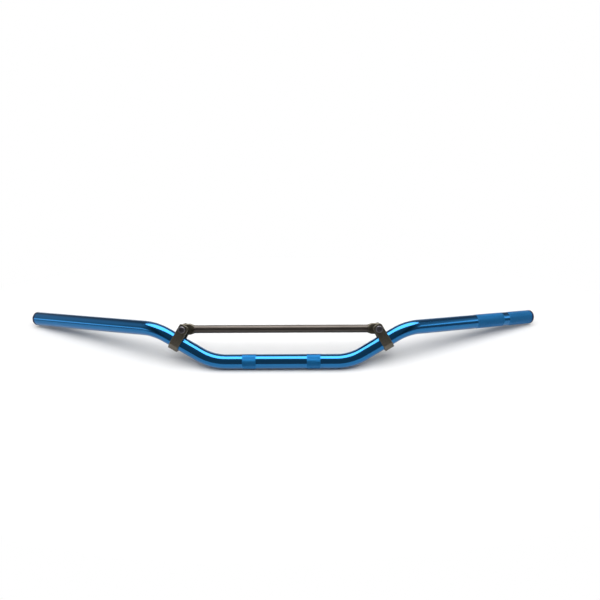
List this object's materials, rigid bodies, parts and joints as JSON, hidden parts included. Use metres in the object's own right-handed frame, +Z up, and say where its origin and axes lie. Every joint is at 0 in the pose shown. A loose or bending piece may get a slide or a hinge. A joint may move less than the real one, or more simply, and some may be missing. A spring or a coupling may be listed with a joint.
{
  "type": "motocross handlebar",
  "caption": "Bent tubular handlebar with knurled stem and grip zones, braced by a slimmer crossbar bolted into U-shaped clamps on its risers.",
  "frame": {"origin": "middle of the clamped stretch, on the tube's centre line; the table is 11.1 mm below", "axes": "+X along the bar towards the rider's left grip, +Y from the front to the rider, +Z up from the table that the bar lies on"},
  "size_m": [0.8244, 0.1305, 0.0669],
  "materials": {
    "blue_anodised": "polished, blue anodised, with fine knurled stretches",
    "bronze_anodised": "satin, dark bronze anodised",
    "dark_steel": "blackened screw steel"
  },
  "bodies": {
    "root": {"handlebar_tube": "blue_anodised", "crossbar": "bronze_anodised", "left_crossbar_clamp": "bronze_anodised", "left_clamp_bolt": "dark_steel", "left_front_spacer": "bronze_anodised", "left_rear_spacer": "bronze_anodised", "left_clamp_nut": "dark_steel", "right_crossbar_clamp": "bronze_anodised", "right_clamp_bolt": "dark_steel", "right_front_spacer": "bronze_anodised", "right_rear_spacer": "bronze_anodised", "right_clamp_nut": "dark_steel"}
  },
  "joints": []
}
